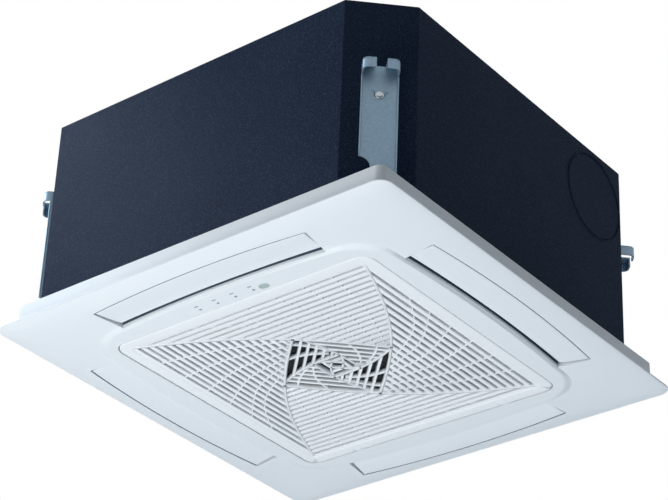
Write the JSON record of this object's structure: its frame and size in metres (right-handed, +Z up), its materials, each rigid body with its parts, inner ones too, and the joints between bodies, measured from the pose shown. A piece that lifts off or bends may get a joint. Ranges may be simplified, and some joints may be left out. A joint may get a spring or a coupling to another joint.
{
  "type": "ceiling cassette air conditioner",
  "caption": "Square four-way ceiling cassette: dark chamfered casing on slotted corner hangers over a white panel with bowed flaps round a pinwheel slatted intake grille.",
  "frame": {"origin": "centre of the panel's lowest face, below the middle of the four hanger lugs", "axes": "+Z up into the ceiling void; the lamps and receiver lie on the -Y edge, the pipes leave through the +Y wall, the fresh-air knock-out is on the +X wall"},
  "size_m": [0.62, 0.62, 0.307],
  "materials": {
    "casing": "dark coated sheet, matt",
    "galvanised": "zinc coated sheet",
    "panel": "satin white moulding",
    "grille": "satin white moulding",
    "foam": "expanded foam",
    "liner": "closed-cell insulation",
    "copper": "drawn copper tube",
    "brass": "machined",
    "aluminium": "fin stock",
    "steel": "zinc plated",
    "dark_plastic": "moulded",
    "grey_plastic": "moulded",
    "board": "coated board",
    "net": "woven net",
    "lamp": "diffusing lens",
    "receiver": "infra-red window"
  },
  "bodies": {
    "unit": {"casing_wall": "casing", "top_plate": "casing", "casing_liner": "liner", "duct_knockout": "casing", "hanger_bracket_near": "galvanised", "hanger_screw_near": "steel", "hanger_bracket_right": "galvanised", "hanger_screw_right": "steel", "hanger_bracket_far": "galvanised", "hanger_screw_far": "steel", "hanger_bracket_left": "galvanised", "hanger_screw_left": "steel", "panel_frame": "panel", "panel_band": "panel", "panel_collar": "panel", "flap_motor_front": "aluminium", "flap_motor_right": "aluminium", "flap_motor_back": "aluminium", "flap_motor_left": "aluminium", "receiver_board": "board", "receiver_window": "receiver", "indicator_lamp_1": "lamp", "indicator_lamp_2": "lamp", "indicator_lamp_3": "lamp", "indicator_lamp_4": "lamp", "drain_pan": "foam", "bell_mouth": "dark_plastic", "heat_exchanger": "aluminium", "coil_corner_plate": "galvanised", "fan_motor": "galvanised", "motor_mount": "galvanised", "drain_pump": "grey_plastic", "float_switch": "grey_plastic", "service_plate": "galvanised", "gas_pipe": "copper", "gas_flare_nut": "brass", "liquid_pipe": "copper", "liquid_flare_nut": "brass", "drain_socket": "grey_plastic", "drain_hose": "grey_plastic", "control_box": "galvanised", "control_box_cover": "galvanised", "circuit_board": "board", "terminal_block": "dark_plastic"},
    "fan": {"motor_shaft": "steel", "fan_wheel": "dark_plastic", "fan_shroud": "dark_plastic", "fan_nut": "steel"},
    "grille": {"intake_grille": "grille", "air_filter": "net", "grille_hinge_pin_left": "steel", "grille_hinge_pin_right": "steel"},
    "latch_left": {"grille_latch_left": "grey_plastic"},
    "latch_right": {"grille_latch_right": "grey_plastic"},
    "flap_front": {"flap_front": "panel"},
    "flap_right": {"flap_right": "panel"},
    "flap_back": {"flap_back": "panel"},
    "flap_left": {"flap_left": "panel"},
    "pump_impeller": {"pump_impeller": "grey_plastic"},
    "float_ring": {"float_ring": "foam"}
  },
  "joints": [
    {"name": "fan_spin", "type": "hinge", "parent": "unit", "child": "fan", "pos_m": [0, 0, 0.17], "axis": [0, 0, 1], "continuous": true},
    {"name": "grille_hinge", "type": "hinge", "parent": "unit", "child": "grille", "pos_m": [0, 0.199, 0.003], "axis": [1, 0, 0], "range_deg": [0, 90]},
    {"name": "latch_left_slide", "type": "slide", "parent": "grille", "child": "latch_left", "axis": [0, -1, 0], "range_m": [0, 0.0044]},
    {"name": "latch_right_slide", "type": "slide", "parent": "grille", "child": "latch_right", "axis": [0, -1, 0], "range_m": [0, 0.0044]},
    {"name": "flap_front_tilt", "type": "hinge", "parent": "unit", "child": "flap_front", "pos_m": [0, -0.248, 0.014], "axis": [1, 0, 0], "range_deg": [0, 68]},
    {"name": "flap_right_tilt", "type": "hinge", "parent": "unit", "child": "flap_right", "pos_m": [0.248, 0, 0.014], "axis": [0, 1, 0], "range_deg": [0, 68]},
    {"name": "flap_back_tilt", "type": "hinge", "parent": "unit", "child": "flap_back", "pos_m": [0, 0.248, 0.014], "axis": [-1, 0, 0], "range_deg": [0, 68]},
    {"name": "flap_left_tilt", "type": "hinge", "parent": "unit", "child": "flap_left", "pos_m": [-0.248, 0, 0.014], "axis": [0, -1, 0], "range_deg": [0, 68]},
    {"name": "pump_spin", "type": "hinge", "parent": "unit", "child": "pump_impeller", "pos_m": [-0.22769, 0.22769, 0.09], "axis": [0, 0, 1], "continuous": true},
    {"name": "float_rise", "type": "slide", "parent": "unit", "child": "float_ring", "axis": [0, 0, 1], "range_m": [0, 0.014]}
  ]
}
